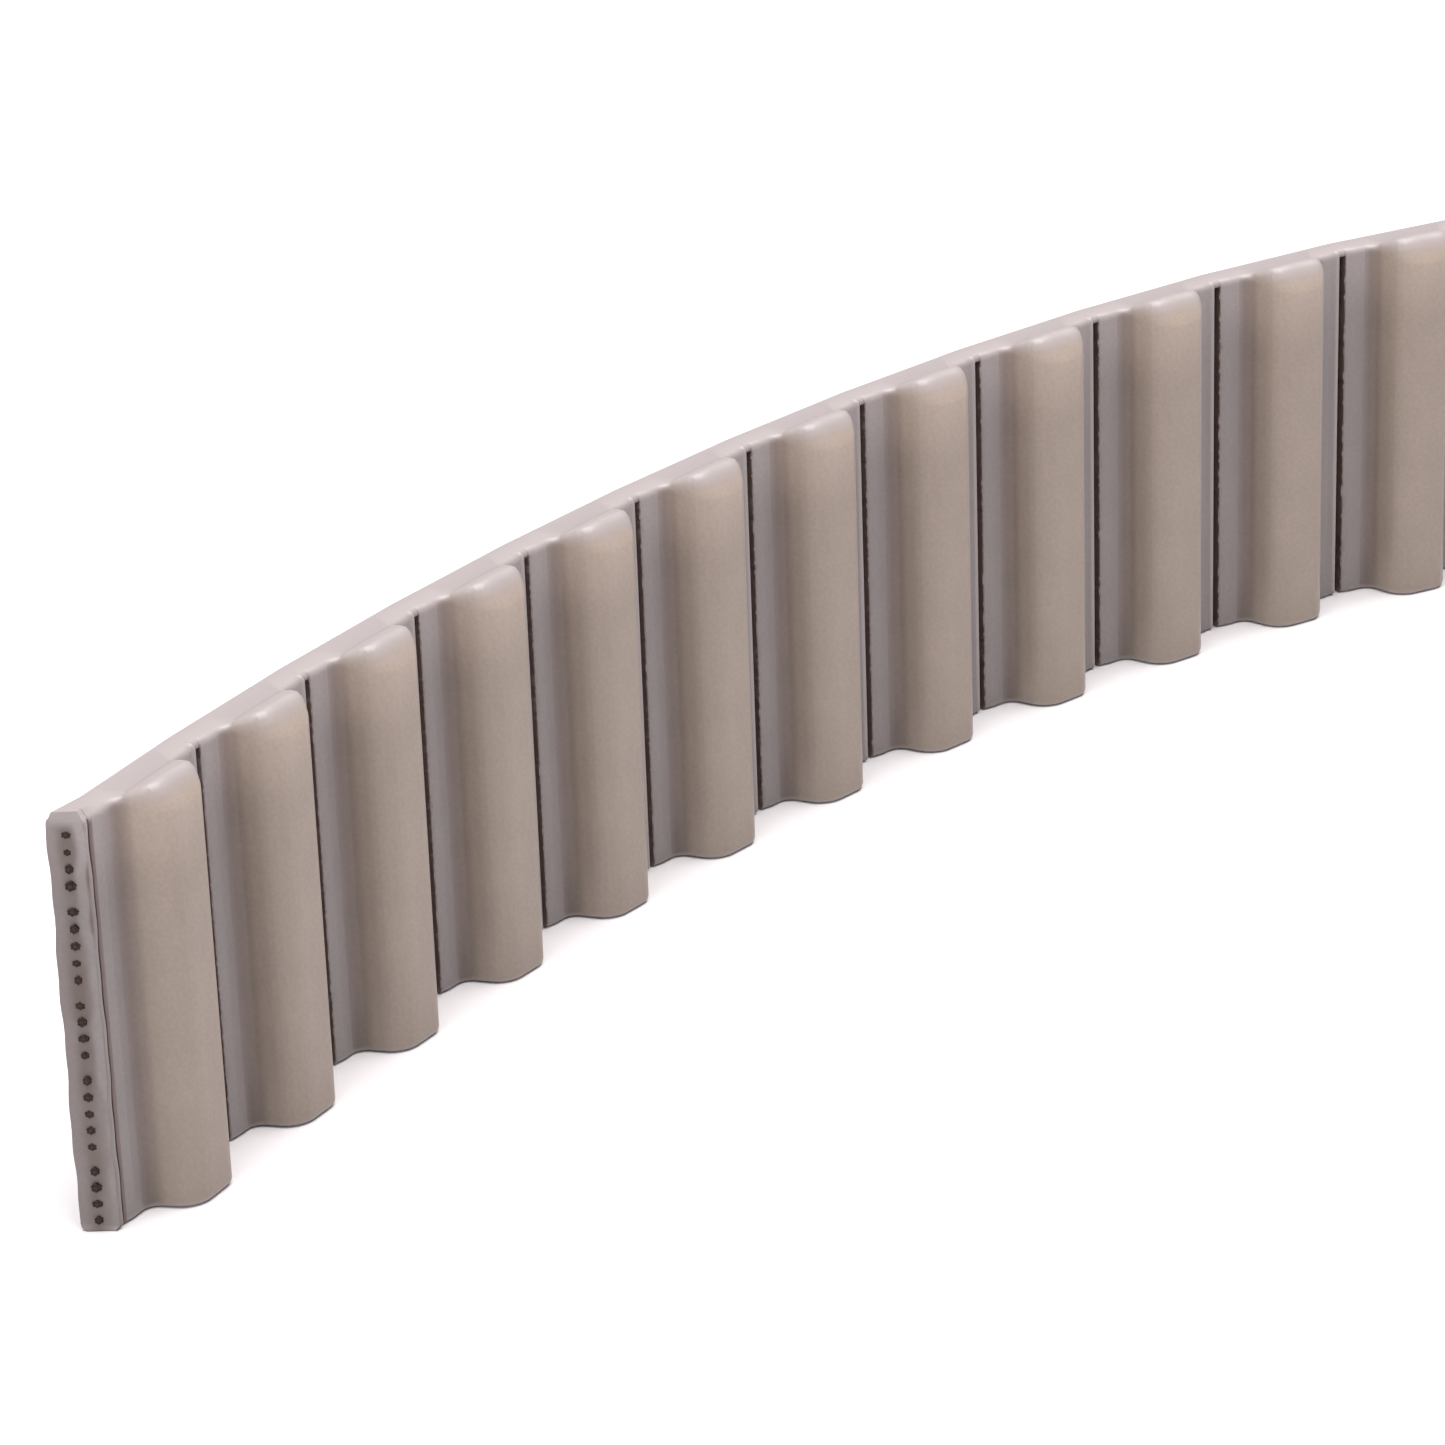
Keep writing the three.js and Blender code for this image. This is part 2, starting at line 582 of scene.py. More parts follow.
@dataclass(frozen=True)
class MouldedPolyurethane(Finish):
    """Cast thermoset polyurethane with the satin skin of its mould, milky to the eye.

    The teeth are thick and look creamy. The web is thin, and the steel behind it makes it look
    grey. The fades are in millimetres in a tooth's frame.
    """

    name: str = "moulded_polyurethane"
    roughness: float = 0.46
    ior: float = 1.5
    tooth_colour: str = "#8f8277"
    web_colour: str = "#807978"
    # Paler cut skin, and the colour of the painted highlights and the painted light from above
    pale_cut_and_highlight_colour: str = "#9c9593"
    stain_colour: str = "#5c4f48"
    # Painted shade for the corner at each tooth's root
    root_shade_colour: str = "#6c5f58"
    # Painted shade for the inside of the nose slits
    slit_shade_colour: str = "#64544e"
    belt: BeltForm = BeltForm()
    slit: SlitForm = SlitForm()
    # Fine grain of the mould, and slow clouds in the cast, with the noise that counts as none
    # and as full, and how much either lightens or darkens
    grain_mm: float = 0.12
    grain_range: Fade = Fade(0.3, 0.7)
    grain_depth_mm: float = 0.01
    grain_strength: float = 0.25
    cloud_mm: float = 1.8
    cloud_range: Fade = Fade(0.25, 0.75)
    shade_range: tuple[float, float] = (0.96, 1.04)
    # Upwards from the upper edge
    # Painted glow: lighter towards the upper edge, as if light from above scattered in
    painted_glow_top: Fade = Fade(-2.6, -0.1)
    painted_glow_gain: float = 1.32
    # Paler cut skin with painted light at the upper edge, and the painted highlight on the sprung
    # tooth ends
    pale_top: Fade = Fade(-0.22, -0.02)
    sprung_top: Fade = Fade(-0.35, 0.32)
    stain_top: Fade = Fade(-0.4, -0.1)
    closed_top: Fade = Fade(-0.3, -0.1)
    # Upwards from the standing edge
    pale_foot: Fade = Fade(0.02, 0.25)
    # Backwards from the cord line, with the crown's rim from the crown
    tooth_to_web: Fade = Fade(-0.66, -0.48)
    pale_front: Fade = Fade(-0.80, -0.55)
    lip_back: Fade = Fade(-0.49, -0.42)
    flank: Fade = Fade(-1.0, -0.5)
    root_back: Fade = Fade(-0.40, -0.30)
    slit_front: Fade = Fade(-0.475, -0.43)
    slit_back: Fade = Fade(0.30, 0.40)
    stain_spread: Fade = Fade(0.06, 0.40)
    crown_back: Fade = Fade(0.12, 0.5)
    # Along the belt, from a tooth's middle, with the stain from the slack cut
    root_side: Fade = Fade(1.75, 1.40)
    stain_reach: Fade = Fade(0.02, -0.06)
    # Narrow bands along the belt: distance inside their edge, and the fade from half to nothing
    # Painted highlights on the lips and on the crowns' rims
    lip_inset: float = 0.03
    lip_band: Fade = Fade(0.04, 0.11)
    rim_inset: float = 0.08
    rim_band: Fade = Fade(0.03, 0.12)
    rim_share: float = 0.65
    slit_band: Fade = Fade(0.02, 0.06)
    stain_least: float = 0.4
    stain_cloud: Fade = Fade(0.3, 0.7)
    stain_share: tuple[float, float] = (0.45, 0.95)

    def material(self) -> bpy.types.Material:
        """Builds the material."""
        material, tree = self.start()
        at = add_node(tree, "ShaderNodeAttribute", {"attribute_name": BELT_MM}).outputs["Vector"]
        xyz = add_node(tree, "ShaderNodeSeparateXYZ", inputs={0: at}).outputs
        cloud = self.noise(tree, at, self.cloud_mm, 3.0)
        grain = self.noise(tree, at, self.grain_mm, 2.0)
        web = self.ramp(tree, xyz["Y"], self.tooth_to_web)
        colour = self.mix(tree, web, srgb(self.tooth_colour), srgb(self.web_colour))
        # Painted shade in the corners at the roots
        colour = self.mix(tree, self.root_shade_mask(tree, xyz), colour, srgb(self.root_shade_colour))
        # Clouds and grain, times the painted glow towards the upper edge
        colour = add_node(
            tree,
            "ShaderNodeMix",
            {"data_type": "RGBA", "blend_type": "MULTIPLY"},
            {"Factor": 1.0, 6: colour, 7: self.shade(tree, xyz, cloud, grain)},
        ).outputs[2]
        # Paler cut skin, painted light on the upper edge and painted highlights
        colour = self.mix(tree, self.pale_cut_and_highlight_mask(tree, xyz), colour, srgb(self.pale_cut_and_highlight_colour))
        # Painted shade inside the nose slits
        colour = self.mix(tree, self.slit_shade_mask(tree, xyz), colour, srgb(self.slit_shade_colour))
        colour = self.mix(tree, self.stain_mask(tree, xyz, cloud), colour, srgb(self.stain_colour))
        bump = add_node(
            tree,
            "ShaderNodeBump",
            inputs={
                "Strength": self.grain_strength,
                "Distance": self.grain_depth_mm * MM,
                "Height": grain,
            },
        ).outputs[0]
        shader = add_node(
            tree,
            "ShaderNodeBsdfPrincipled",
            inputs={
                "Base Color": colour,
                "Roughness": self.roughness,
                "IOR": self.ior,
                "Normal": bump,
            },
        ).outputs[0]
        add_node(tree, "ShaderNodeOutputMaterial", inputs={0: shader})
        return material

    def shade(self, tree: Tree, xyz: Outputs, cloud: Socket, grain: Socket) -> Socket:
        """How much lighter or darker the body is: clouds and grain, and a painted glow of light
        from above that grows towards the upper edge.

        Args:
            tree: The material's nodes.
            xyz: A point's place in its tooth's frame, by axis.
            cloud: Slow noise.
            grain: Fine noise.

        Returns:
            A factor for the colour.
        """
        clouds = self.ramp(tree, cloud, self.cloud_range, *self.shade_range)
        speckle = self.ramp(tree, grain, self.grain_range, *self.shade_range)
        # Painted glow of light from above, growing towards the upper edge
        thin = self.ramp(tree, xyz["Z"], self.painted_glow_top.beyond(self.belt.width), 1.0, self.painted_glow_gain)
        return self.both(tree, self.both(tree, clouds, speckle), thin)

    def pale_cut_and_highlight_mask(self, tree: Tree, xyz: Outputs) -> Socket:
        """One where the colour is paler: cut skin along the standing edge, the upper edge as partly
        cut skin and partly painted light from above, and painted highlights on the sprung tooth
        ends, the lips and the crowns' rims.

        Args:
            tree: The material's nodes.
            xyz: A point's place in its tooth's frame, by axis.

        Returns:
            The mask.
        """
        top = self.belt.width
        # The upper edge: partly its paler cut skin, partly painted light from above
        upper = self.ramp(tree, xyz["Z"], self.pale_top.beyond(top))
        upper = self.both(tree, upper, self.ramp(tree, xyz["Y"], self.pale_front))
        # Painted highlight on the sprung upper end of each tooth
        sprung = self.ramp(tree, xyz["Z"], self.sprung_top.beyond(top))
        # The standing edge's paler cut skin
        lower = self.ramp(tree, xyz["Z"], self.pale_foot, 1.0, 0.0)
        # Painted highlight along the lip of each nose slit
        lip_middle = self.belt.pitch / 2 - self.slit.half_gap - self.lip_inset
        lip = self.band(tree, xyz["X"], lip_middle, self.lip_band)
        lip = self.both(tree, lip, self.ramp(tree, xyz["Y"], self.lip_back, 1.0, 0.0))
        # Painted highlight along each crown's rim
        rim = self.band(tree, xyz["X"], self.belt.crown_half - self.rim_inset, self.rim_band)
        crown = self.crown_back.beyond(self.belt.crown)
        rim = self.both(tree, rim, self.ramp(tree, xyz["Y"], crown, self.rim_share, 0.0))
        for other in (sprung, lower, lip, rim):
            upper = self.maths(tree, "MAXIMUM", upper, other)
        return upper

    def root_shade_mask(self, tree: Tree, xyz: Outputs) -> Socket:
        """Painted shade in the corner at a tooth's root: one there, then fading.

        Args:
            tree: The material's nodes.
            xyz: A point's place in its tooth's frame, by axis.

        Returns:
            The mask.
        """
        beside = self.ramp(tree, self.maths(tree, "ABSOLUTE", xyz["X"]), self.root_side)
        flank = self.ramp(tree, xyz["Y"], self.flank)
        front = self.ramp(tree, xyz["Y"], self.root_back, 1.0, 0.0)
        return self.both(tree, self.both(tree, beside, flank), front)

    def stain_mask(self, tree: Tree, xyz: Outputs, cloud: Socket) -> Socket:
        """One beside the cords on the slack cut, where the blade dragged dirt off the steel.

        Args:
            tree: The material's nodes.
            xyz: A point's place in its tooth's frame, by axis.
            cloud: Slow noise.

        Returns:
            The mask.
        """
        beyond = self.ramp(tree, xyz["X"], self.stain_reach.beyond(-self.belt.slack_cut_front))
        below = self.ramp(tree, xyz["Z"], self.stain_top.beyond(self.belt.width), 1.0, 0.0)
        off_cords = self.maths(tree, "ABSOLUTE", xyz["Y"])
        middle = self.ramp(tree, off_cords, self.stain_spread, 1.0, self.stain_least)
        uneven = self.ramp(tree, cloud, self.stain_cloud, *self.stain_share)
        return self.both(tree, self.both(tree, beyond, middle), self.both(tree, below, uneven))

    def slit_shade_mask(self, tree: Tree, xyz: Outputs) -> Socket:
        """Painted shade inside the nose slits, where the cut reaches the cords: one there and zero
        elsewhere.

        Args:
            tree: The material's nodes.
            xyz: A point's place in its tooth's frame, by axis.

        Returns:
            The mask.
        """
        distance = self.maths(tree, "ABSOLUTE", xyz["X"])
        gap = self.slit_band.beyond(self.slit.half_gap)
        near = self.band(tree, distance, self.belt.pitch / 2, gap)
        deep = self.ramp(tree, xyz["Y"], self.slit_front)
        front = self.ramp(tree, xyz["Y"], self.slit_back, 1.0, 0.0)
        below = self.ramp(tree, xyz["Z"], self.closed_top.beyond(self.belt.width), 1.0, 0.0)
        return self.both(tree, self.both(tree, near, deep), self.both(tree, front, below))

    def band(self, tree: Tree, value: Socket, middle: float, edge: Fade) -> Socket:
        """One where a value is near a middle, fading out at a distance from it."""
        off = self.maths(tree, "ABSOLUTE", self.maths(tree, "SUBTRACT", value, middle))
        return self.ramp(tree, off, edge, 1.0, 0.0)

    def both(self, tree: Tree, first: Socket, second: Socket) -> Socket:
        """The product of two masks."""
        return self.maths(tree, "MULTIPLY", first, second)

    @staticmethod
    def maths(tree: Tree, operation: str, *values: Socket | float) -> Socket:
        """The result of one operation on one or two values."""
        inputs = dict(enumerate(values))
        return add_node(tree, "ShaderNodeMath", {"operation": operation}, inputs).outputs[0]

    @staticmethod
    def noise(tree: Tree, at: Socket, size_mm: float, detail: float) -> Socket:
        """Noise whose features have a size in millimetres."""
        inputs = {"Vector": at, "Scale": 1 / size_mm, "Detail": detail}
        return add_node(tree, "ShaderNodeTexNoise", inputs=inputs).outputs[0]

    @staticmethod
    def ramp(tree: Tree, value: Socket, fade: Fade, low: float = 0.0, high: float = 1.0) -> Socket:
        """A smooth step of a value, from low where the fade starts to high where it ends."""
        return add_node(
            tree,
            "ShaderNodeMapRange",
            {"interpolation_type": "SMOOTHSTEP"},
            {
                "Value": value,
                "From Min": fade.start,
                "From Max": fade.end,
                "To Min": low,
                "To Max": high,
            },
        ).outputs[0]

    @staticmethod
    def mix(
        tree: Tree,
        factor: Socket,
        first: Socket | tuple[float, ...],
        second: Socket | tuple[float, ...],
    ) -> Socket:
        """A mix of two colours."""
        return add_node(
            tree, "ShaderNodeMix", {"data_type": "RGBA"}, {"Factor": factor, 6: first, 7: second}
        ).outputs[2]


@dataclass(frozen=True)
class DrawnSteel(Finish):
    """Drawn steel wire, brass-coated for the cord and dulled by the cut: dark, with a warm tint."""

    name: str = "drawn_steel_wire"
    roughness: float = 0.5
    metallic: float = 0.7
    colour: str = "#4a3d38"
    dark_colour: str = "#2b211d"
    pits_per_mm: float = 12.0
    pit_depth_mm: float = 0.02
    pit_strength: float = 0.3

    def material(self) -> bpy.types.Material:
        """Builds the material."""
        material, tree = self.start()
        at = add_node(tree, "ShaderNodeAttribute", {"attribute_name": BELT_MM}).outputs["Vector"]
        noise = add_node(
            tree, "ShaderNodeTexNoise", inputs={"Vector": at, "Scale": self.pits_per_mm}
        ).outputs[0]
        colour = MouldedPolyurethane.mix(tree, noise, srgb(self.colour), srgb(self.dark_colour))
        bump = add_node(
            tree,
            "ShaderNodeBump",
            inputs={
                "Strength": self.pit_strength,
                "Distance": self.pit_depth_mm * MM,
                "Height": noise,
            },
        ).outputs[0]
        shader = add_node(
            tree,
            "ShaderNodeBsdfPrincipled",
            inputs={
                "Base Color": colour,
                "Metallic": self.metallic,
                "Roughness": self.roughness,
                "Normal": bump,
            },
        ).outputs[0]
        add_node(tree, "ShaderNodeOutputMaterial", inputs={0: shader})
        return material


@dataclass(frozen=True)
class PaintedFloor(Finish):
    """Matt white table top."""

    name: str = "matt_white_table"
    roughness: float = 0.8
    colour: str = "#dedddd"

    def material(self) -> bpy.types.Material:
        """Builds the material."""
        material, tree = self.start()
        shader = add_node(
            tree,
            "ShaderNodeBsdfPrincipled",
            inputs={"Base Color": srgb(self.colour), "Roughness": self.roughness},
        ).outputs[0]
        add_node(tree, "ShaderNodeOutputMaterial", inputs={0: shader})
        return material


# --------------------------------------------------------------------------------------
# The belt
# --------------------------------------------------------------------------------------


def body_name(k: int) -> str:
    """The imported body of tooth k, counted from 0."""
    return f"tooth_{k + 1:02d}"


@dataclass
class MouldedBody:
    """The polyurethane: fourteen teeth, thirteen webs that bend between them, and two cut ends."""

    form: BeltForm
    slit: SlitForm
    end: EndForm
    cut: HandCut
    line: BeltLine
    material: bpy.types.Material

    def build(self) -> None:
        """Builds every piece of the moulded body."""
        for k in range(self.line.tooth_count):
            self.tooth(k)
        for k in range(self.line.tooth_count - 1):
            self.web(k)
        self.slack_end()
        self.tight_end()

    def tooth(self, k: int) -> None:
        """Builds tooth k with the web behind it, from root to root.

        Args:
            k: The tooth, from 0.
        """
        f = self.form
        root = f.root_width / 2
        corners = [
            Corner(-f.seam, f.back),
            Corner(-f.seam, f.land),
            Corner(-root, f.land, f.root_radius),
            Corner(-f.crown_half, f.crown, f.slack_crown_radius),
            Corner(f.crown_half, f.crown, f.crown_radius),
            Corner(root, f.land, f.root_radius),
            Corner(f.seam, f.land),
            Corner(f.seam, f.back),
        ]
        bm = prism(corners, f.width)
        self.round_rims(bm, (-f.seam, f.seam))
        self.shape_end(bm)
        name = f"moulded_tooth_{k + 1:02d}"
        piece = make_piece(bm, name, self.line.on_tooth(k), self.material, Slot.POLYURETHANE)
        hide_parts(f"belt_tooth_{k + 1:02d}")
        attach(piece, body_name(k))

    def shape_end(self, bm: BMesh) -> None:
        """Lets the upper end of a tooth spring up above the web, and scallops it off.

        Args:
            bm: The mesh.
        """
        f, e = self.form, self.end
        half = f.crown_half + e.side_margin
        top = f.width - f.rim_radius
        slice_along(bm, 0, grid_steps(-f.root_width / 2, f.root_width / 2, e.columns))
        slice_along(bm, 2, grid_steps(f.width - e.depth - e.lead_in, top, e.rows))
        slice_along(bm, 1, grid_steps(f.crown, f.land, e.layers))
        for v in bm.verts:
            out = min(max((f.land - v.co.y) / f.tooth_height, 0.0), 1.0)
            depth = e.scallop(min(abs(v.co.x) / half, 1.0))
            t = min(max((v.co.z - f.width + depth) / depth, 0.0), 1.0)
            setback = e.setback * depth / e.depth
            v.co.y += setback * out * (e.facet * t + (1 - e.facet) * (1 - math.sqrt(1 - t * t)))
            v.co.z += e.rise * t * math.sin(out * math.pi / 2)

    def close_rim(self, bm: BMesh, middle: float) -> None:
        """Ends a nose slit just short of the upper edge, where the skin of the belt closes it.

        Args:
            bm: The mesh.
            middle: Where the slit is along the belt.
        """
        s, f = self.slit, self.form
        skin = f.width - s.closed_rim * s.skin_share
        slice_along(bm, 2, [f.width - s.closed_rim, skin])
        for v in bm.verts:
            inside = abs(v.co.x - middle) < s.half_gap + TOUCH and s.far_edge < v.co.y < 0
            if inside and v.co.z > skin - TOUCH:
                v.co.y = s.far_edge + s.skin_setback
        bmesh.ops.remove_doubles(bm, verts=bm.verts, dist=TOUCH)

    def roughen_slit(self, bm: BMesh, middle: float, seed: int) -> None:
        """Leaves the far edge of a nose slit ragged, as the nose bar tore it from the cords.

        Args:
            bm: The mesh.
            middle: Where the slit is along the belt.
            seed: Picks the tears.
        """
        s, f = self.slit, self.form
        edge = middle + s.half_gap
        opening = f.width - s.closed_rim
        slice_along(bm, 2, grid_steps(0.0, opening, round(f.width / s.tear_step)))
        draw = random.Random(seed)
        jitter: dict[int, float] = {}
        for v in sorted(bm.verts, key=lambda v: v.co.z):
            level = round(v.co.z / TOUCH)
            if level not in jitter:
                jitter[level] = draw.uniform(-1.0, 1.0)
            on_edge = abs(v.co.x - edge) < s.tear_reach and v.co.y < s.floor - TOUCH
            if on_edge and f.rim_radius < v.co.z < opening:
                v.co.x += s.ragged * jitter[level]
                v.co.y += s.ragged * s.tear_depth * jitter[level]

    def slit_corners(self, middle: float, slit: SlitForm) -> list[Corner]:
        """The front of a land from the seam on its slack side to the seam on its tight side.

        Args:
            middle: Where the slit is along the belt.
            slit: The slit's section.

        Returns:
            The corners of the outline, with the nose slit between its lip and its ramp.
        """
        s, f = slit, self.form
        near, far = middle - s.half_gap, middle + s.half_gap
        return [
            Corner(middle - f.pitch / 2 + f.seam, f.land),
            Corner(near - s.lip_run * s.lip_width, f.land, s.land_radius),
            Corner(near - s.lip_width, s.dip, s.dip_radius),
            Corner(near, s.lip, s.edge_radius),
            Corner(near, s.floor),
            Corner(far, s.floor),
            Corner(far, s.far_edge, s.edge_radius),
            Corner(middle + s.ramp, s.ramp_level, s.ramp_radius),
            Corner(middle + s.blend_in, f.land, s.land_radius),
            Corner(middle + f.pitch / 2 - f.seam, f.land),
        ]

    def web(self, k: int) -> None:
        """Builds the thin web between teeth k and k + 1, slit in front and plain at its back.

        Args:
            k: The tooth on the slack side, from 0.
        """
        f, s = self.form, self.slit
        middle = f.pitch / 2
        front = self.slit_corners(middle, s)
        start, end = front[0].x, front[-1].x
        corners = [*front, Corner(end, f.back), Corner(start, f.back)]
        bm = prism(corners, f.width, s.arc_steps)
        self.close_rim(bm, middle)
        slice_along(bm, 0, grid_steps(start, end, f.web_steps))
        self.roughen_slit(bm, middle, k)
        self.ease_rims(bm)
        place = self.line.across_hinge(k)
        piece = make_piece(bm, f"bending_web_{k + 1:02d}", place, self.material, Slot.POLYURETHANE)
        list(self.line.blend_points(k))
        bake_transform(piece)

    def slack_end(self) -> None:
        """Builds the end that was cut off by hand beyond a nose slit, slightly out of square."""
        f = self.form
        pressed = replace(self.slit, half_gap=self.cut.slit_half_gap, lip=self.cut.slit_lip)
        front = self.slit_corners(-f.pitch / 2, pressed)
        beyond, end = -f.pitch, front[-1].x
        corners = [Corner(beyond, f.land), *front[1:], Corner(end, f.back), Corner(beyond, f.back)]
        bm = prism(corners, f.width, self.slit.arc_steps)
        cut_off(bm, Vector((-f.slack_cut_front, f.land, 0)), f.slack_cut_normal)
        self.close_rim(bm, -f.pitch / 2)
        self.soften_cut(bm)
        self.ease_rims(bm)
        piece = make_piece(
            bm, "slack_end", self.line.on_tooth(0), self.material, Slot.POLYURETHANE
        )
        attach(piece, body_name(0))

    def soften_cut(self, bm: BMesh) -> None:
        """Lets the cut at the slack end waver a little, and its upper corner spring up.

        Args:
            bm: The mesh.
        """
        f, c = self.form, self.cut
        slice_along(bm, 2, grid_steps(0.0, f.width - self.slit.closed_rim, c.rows))
        for v in bm.verts:
            loose = min(max((-v.co.x - f.seam) / (f.slack_cut_front - f.seam), 0.0), 1.0)
            up = min(max((v.co.z - f.width + c.rise_height) / c.rise_height, 0.0), 1.0)
            v.co.z += c.rise * loose * up
            v.co.x += loose**2 * c.waver(v.co.z)

    def tight_end(self) -> None:
        """Builds the far end, cut square just before a nose slit."""
        f = self.form
        corners = [
            Corner(f.seam, f.back),
            Corner(f.seam, f.land),
            Corner(f.tight_cut, f.land),
            Corner(f.tight_cut, f.back),
        ]
        bm = prism(corners, f.width)
        self.round_rims(bm, (f.seam,))
        last = self.line.tooth_count - 1
        piece = make_piece(
            bm, "tight_end", self.line.on_tooth(last), self.material, Slot.POLYURETHANE
        )
        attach(piece, body_name(last))

    def ease_rims(self, bm: BMesh) -> None:
        """Rounds both rims of a web to a tooth's section, past the fine edges of its slit.

        Args:
            bm: The mesh.
        """
        f = self.form
        r = f.rim_radius
        angles = [math.radians(90 * k / f.rim_steps) for k in range(f.rim_steps)]
        slope = [r * (1 - math.sin(angle)) for angle in angles]
        slice_along(bm, 2, [*slope, *(f.width - step for step in slope)])
        # Points nearer to the cord line than this are inside the slit and stay
        inside = -self.slit.far_edge / 2
        for v in bm.verts:
            into = min(max(v.co.z - f.width + r, r - v.co.z, 0.0), r)
            inset = r - math.sqrt(r * r - into * into)
            if abs(v.co.y) > inside:
                v.co.y -= math.copysign(inset, v.co.y)

    def round_rims(self, bm: BMesh, seams: Sequence[float]) -> None:
        """Rounds a piece's standing and upper edges, but not where it meets its neighbours.

        Args:
            bm: The mesh.
            seams: Where it meets them along x.
        """
        f = self.form
        for level in (0.0, f.width):
            bevel(bm, rim_edges(bm, level, seams), f.rim_radius, f.rim_steps)


@dataclass
class CordLayer:
    """The steel cords: plain along the belt, and with their wires shown at the cut ends."""

    form: BeltForm
    cords: CordForm
    line: BeltLine
    material: bpy.types.Material

    def build(self) -> None:
        """Builds the cords across each hinge and at the two ends."""
        nodes = [f"tension_cord_{k + 1:02d}" for k in range(len(self.cords.heights()))]
        for k in range(self.line.tooth_count - 1):
            self.span(k)
        self.end(Side.SLACK, nodes)
        self.end(Side.TIGHT, nodes)

    def repeat(self, bm: BMesh) -> None:
        """Repeats a cord that lies at z = 0 at the height of every cord.

        Args:
            bm: The mesh.
        """
        first, *others = self.cords.heights()
        original = [*bm.verts, *bm.edges, *bm.faces]
        lowest = list(bm.verts)
        for height in others:
            copy = bmesh.ops.duplicate(bm, geom=original)["geom"]
            verts = [v for v in copy if isinstance(v, BMVert)]
            bmesh.ops.translate(bm, verts=verts, vec=(0, 0, height))
        bmesh.ops.translate(bm, verts=lowest, vec=(0, 0, first))

    def uneven(self, bm: BMesh, side: Side) -> None:
        """Spreads or pinches each cord a little where the blade went through it.

        Args:
            bm: The mesh of all the cords.
            side: Which end of the belt.
        """
        draw = random.Random(side.value)
        heights = self.cords.heights()
        sizes = [draw.uniform(self.cords.pinch, self.cords.spread) for _ in heights]
        for v in bm.verts:
            k = min(range(len(heights)), key=lambda k: abs(heights[k] - v.co.z))
            v.co.y *= sizes[k]
            v.co.z = heights[k] + (v.co.z - heights[k]) * sizes[k - 1]

    @staticmethod
    def rod(bm: BMesh, start: float, end: float, radius: float, segments: int) -> list[BMVert]:
        """Adds a rod along x with closed ends.

        Args:
            bm: The mesh.
            start: Where it starts along x.
            end: Where it ends.
            radius: Its radius.
            segments: Sides of its section.

        Returns:
            The vertices.
        """
        lay = Matrix.Translation(((start + end) / 2, 0, 0)) @ Matrix.Rotation(math.pi / 2, 4, "Y")
        made = bmesh.ops.create_cone(
            bm,
            cap_ends=True,
            segments=segments,
            radius1=radius,
            radius2=radius,
            depth=end - start,
            matrix=lay,
        )
        return made["verts"]

    def span(self, k: int) -> None:
        """Builds the cords from the middle of tooth k to the middle of tooth k + 1.

        Args:
            k: The tooth on the slack side, from 0.
        """
        f, c = self.form, self.cords
        start, end = f.seam, f.pitch - f.seam
        bm = bmesh.new()
        self.rod(bm, 0.0, f.pitch, c.diameter / 2, c.plain_sides)
        slice_along(bm, 0, [start, *grid_steps(start, end, c.bend_steps), end])
        self.repeat(bm)
        place = self.line.across_hinge(k)
        piece = make_piece(bm, f"steel_cords_{k + 1:02d}", place, self.material, Slot.STEEL_CORD)
        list(self.line.blend_points(k))
        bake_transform(piece)

    def end(self, side: Side, nodes: list[str]) -> None:
        """Builds the cords of an end, each as a strand of seven twisted wires.

        Args:
            side: Which end of the belt.
            nodes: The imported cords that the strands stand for.
        """
        f, c = self.form, self.cords
        reach = f.pitch if side is Side.SLACK else f.tight_cut
        start, end = sorted((0.0, side.value * reach))
        wire = c.wire_radius
        bm = bmesh.new()
        self.rod(bm, start, end, c.core * wire, c.core_sides)
        for k in range(c.outer_wires):
            verts = self.rod(bm, start, end, wire, c.wire_sides)
            angle = 2 * math.pi * k / c.outer_wires
            offset = 2 * wire * Vector((0, math.cos(angle), math.sin(angle)))
            bmesh.ops.translate(bm, verts=verts, vec=offset)
        slice_along(bm, 0, grid_steps(start, end, c.twist_steps))
        for v in bm.verts:
            v.co.rotate(Euler((2 * math.pi * v.co.x / c.lay_length, 0, 0)))
        self.repeat(bm)
        self.uneven(bm, side)
        if side is Side.SLACK:
            cut_off(bm, Vector((-f.slack_cut_front - c.proud, f.land, 0)), f.slack_cut_normal)
        k = 0 if side is Side.SLACK else self.line.tooth_count - 1
        name = f"cord_ends_{side.name.lower()}"
        piece = make_piece(bm, name, self.line.on_tooth(k), self.material, Slot.STEEL_CORD)
        if side is Side.SLACK:
            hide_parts(*nodes)
        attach(piece, body_name(k))


# --------------------------------------------------------------------------------------
# Studio
# --------------------------------------------------------------------------------------


@dataclass(frozen=True)
class AreaLight:
    """A square softbox that faces the middle of the belt."""

    name: str
    azimuth: float
    elevation: float
    distance: float
    size: float
    power: float
    colour: str = "#ffffff"

    def build(self, target: Vector) -> None:
        """Adds the light.

        Args:
            target: What it faces.
        """
        data = bpy.data.lights.new(self.name, "AREA")
        data.shape, data.size, data.energy = "SQUARE", self.size, self.power
        data.color = srgb(self.colour)[:3]
        light = bpy.data.objects.new(self.name, data)
        az, el = math.radians(self.azimuth), math.radians(self.elevation)
        away = Vector((math.sin(az) * math.cos(el), math.cos(az) * math.cos(el), math.sin(el)))
        light.location = target + away * self.distance
        light.rotation_euler = away.to_track_quat("Z", "Y").to_euler()
        bpy.context.scene.collection.objects.link(light)


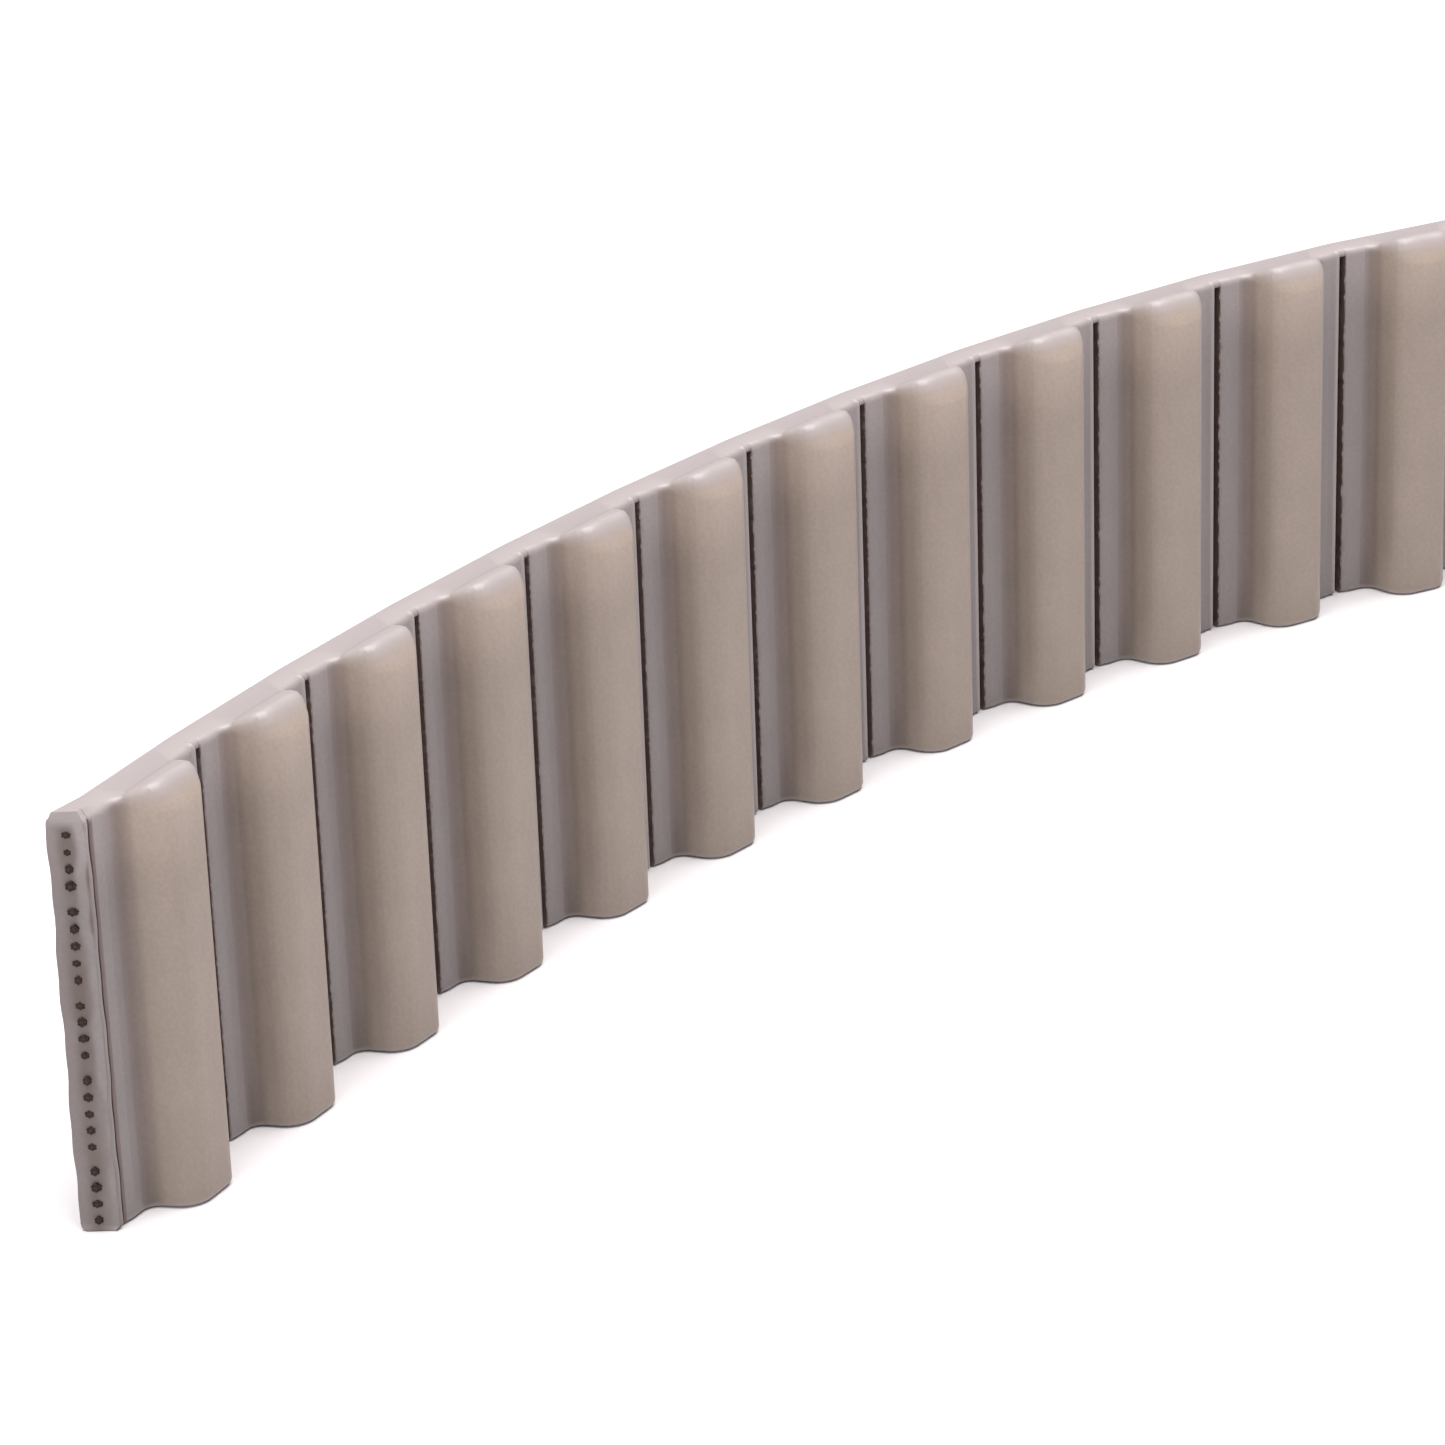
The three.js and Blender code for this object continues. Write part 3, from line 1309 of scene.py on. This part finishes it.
@dataclass(frozen=True)
class Studio:
    """Pale floor, soft light and the camera. Lengths are in metres, but for the lens."""

    lens_mm: float = 134.6
    sensor_mm: float = 36.0
    nearest: float = 0.01
    azimuth: float = math.radians(45.491)
    elevation: float = math.radians(24.140)
    roll: float = math.radians(-2.053)
    distance: float = 0.16393
    aim: tuple[float, float] = (-0.002344, -0.003626)
    target: tuple[float, float, float] = (0.0, 0.0, 0.006)
    floor_size: float = 3.0
    surround_colour: str = "#f7f7fb"
    surround_strength: float = 0.3
    lights: tuple[AreaLight, ...] = (
        AreaLight("overhead_softbox", 160.0, 84.0, 0.8, 0.7, 14.0, "#fffafc"),
        AreaLight("left_softbox", 258.0, 28.0, 0.9, 0.6, 1.9, "#fffdfa"),
    )

    def build(self) -> None:
        """Builds the floor, the lights, the surrounding light and the camera."""
        self.floor()
        for light in self.lights:
            light.build(Vector(self.target))
        world = bpy.data.worlds.new("studio_surround")
        world.use_nodes = True
        background = world.node_tree.nodes["Background"]
        background.inputs["Color"].default_value = srgb(self.surround_colour)
        background.inputs["Strength"].default_value = self.surround_strength
        bpy.context.scene.world = world
        bpy.context.scene.view_settings.view_transform = "Standard"
        self.camera()

    def floor(self) -> None:
        """Adds the floor that the belt stands on."""
        bm = bmesh.new()
        bmesh.ops.create_grid(bm, x_segments=1, y_segments=1, size=self.floor_size)
        mesh = bpy.data.meshes.new("floor")
        bm.to_mesh(mesh)
        bm.free()
        mesh.materials.append(PaintedFloor().material())
        floor = bpy.data.objects.new("floor", mesh)
        bpy.context.scene.collection.objects.link(floor)

    def camera(self) -> None:
        """Adds the camera, which looks down along the belt from its slack end."""
        az, el = self.azimuth, self.elevation
        forward = Vector((math.sin(az) * math.cos(el), math.cos(az) * math.cos(el), -math.sin(el)))
        level = Vector((math.cos(az), -math.sin(az), 0))
        upright = level.cross(forward)
        right = level * math.cos(self.roll) + upright * math.sin(self.roll)
        up = upright * math.cos(self.roll) - level * math.sin(self.roll)
        data = bpy.data.cameras.new("camera")
        data.sensor_width = self.sensor_mm
        data.lens = self.lens_mm
        data.clip_start = self.nearest
        camera = bpy.data.objects.new("camera", data)
        place = Matrix((right, up, -forward)).transposed().to_4x4()
        place.translation = (
            Vector(self.target) + self.aim[0] * right + self.aim[1] * up - self.distance * forward
        )
        camera.matrix_world = place
        bpy.context.scene.collection.objects.link(camera)
        bpy.context.scene.camera = camera


def main() -> None:
    """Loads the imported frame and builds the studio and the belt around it."""
    logging.basicConfig(level=logging.INFO, format="%(name)s: %(message)s")
    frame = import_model()
    Studio().build()
    form = BeltForm()
    line = BeltLine(form, frame["joints"])
    polyurethane = MouldedPolyurethane().material()
    MouldedBody(form, SlitForm(), EndForm(), HandCut(), line, polyurethane).build()
    CordLayer(form, CordForm(), line, DrawnSteel().material()).build()


if __name__ == "__main__":
    main()
